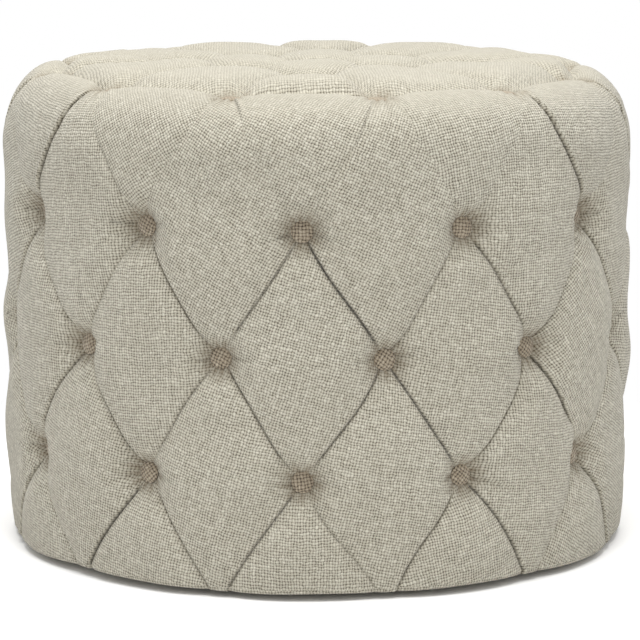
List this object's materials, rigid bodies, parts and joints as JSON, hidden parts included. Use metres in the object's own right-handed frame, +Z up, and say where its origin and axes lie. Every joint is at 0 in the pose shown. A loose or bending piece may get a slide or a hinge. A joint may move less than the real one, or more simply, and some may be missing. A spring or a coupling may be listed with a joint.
{
  "type": "round buttoned ottoman coffee table",
  "caption": "Round drum-shaped ottoman coffee table, deep-buttoned in diamonds over its side and top, in greige linen.",
  "frame": {"origin": "middle of the footprint, on the floor under the glides", "axes": "+Z up along the drum's axis; the front, with a column of buttons, faces -Y"},
  "size_m": [0.6, 0.6, 0.461],
  "materials": {
    "linen": "chunky greige linen weave over fibre filling",
    "button_linen": "the same linen drawn over the button",
    "button_back": "pressed button back with a wire loop",
    "foam": "cut polyurethane foam",
    "fibreboard": "thin bent fibreboard",
    "plywood": "birch plywood",
    "timber": "planed softwood",
    "toggle_wood": "turned beech",
    "twine": "waxed upholstery twine",
    "black_cloth": "spunbond dust cloth",
    "steel_wire": "galvanised staple wire",
    "zinc_steel": "zinc-plated steel",
    "glide_plastic": "moulded nylon"
  },
  "bodies": {
    "root": {"base_ring": "plywood", "dust_cover": "black_cloth", "dust_staples": "steel_wire", "frame_screws": "zinc_steel", "glide_nails": "zinc_steel", "glides": "glide_plastic", "linen_cover": "linen", "post_1": "timber", "post_2": "timber", "post_3": "timber", "post_4": "timber", "post_5": "timber", "post_6": "timber", "post_7": "timber", "post_8": "timber", "side_button_backs_lower": "button_back", "side_button_backs_middle": "button_back", "side_button_backs_upper": "button_back", "side_buttons_lower": "button_linen", "side_buttons_middle": "button_linen", "side_buttons_upper": "button_linen", "side_foam": "foam", "side_panel": "fibreboard", "side_toggles_lower": "toggle_wood", "side_toggles_middle": "toggle_wood", "side_toggles_upper": "toggle_wood", "side_twines_lower": "twine", "side_twines_middle": "twine", "side_twines_upper": "twine", "top_board": "plywood", "top_button_backs_inner": "button_back", "top_button_backs_outer": "button_back", "top_buttons_inner": "button_linen", "top_buttons_outer": "button_linen", "top_foam": "foam", "top_toggles_inner": "toggle_wood", "top_toggles_outer": "toggle_wood", "top_twines_inner": "twine", "top_twines_outer": "twine"}
  },
  "joints": []
}
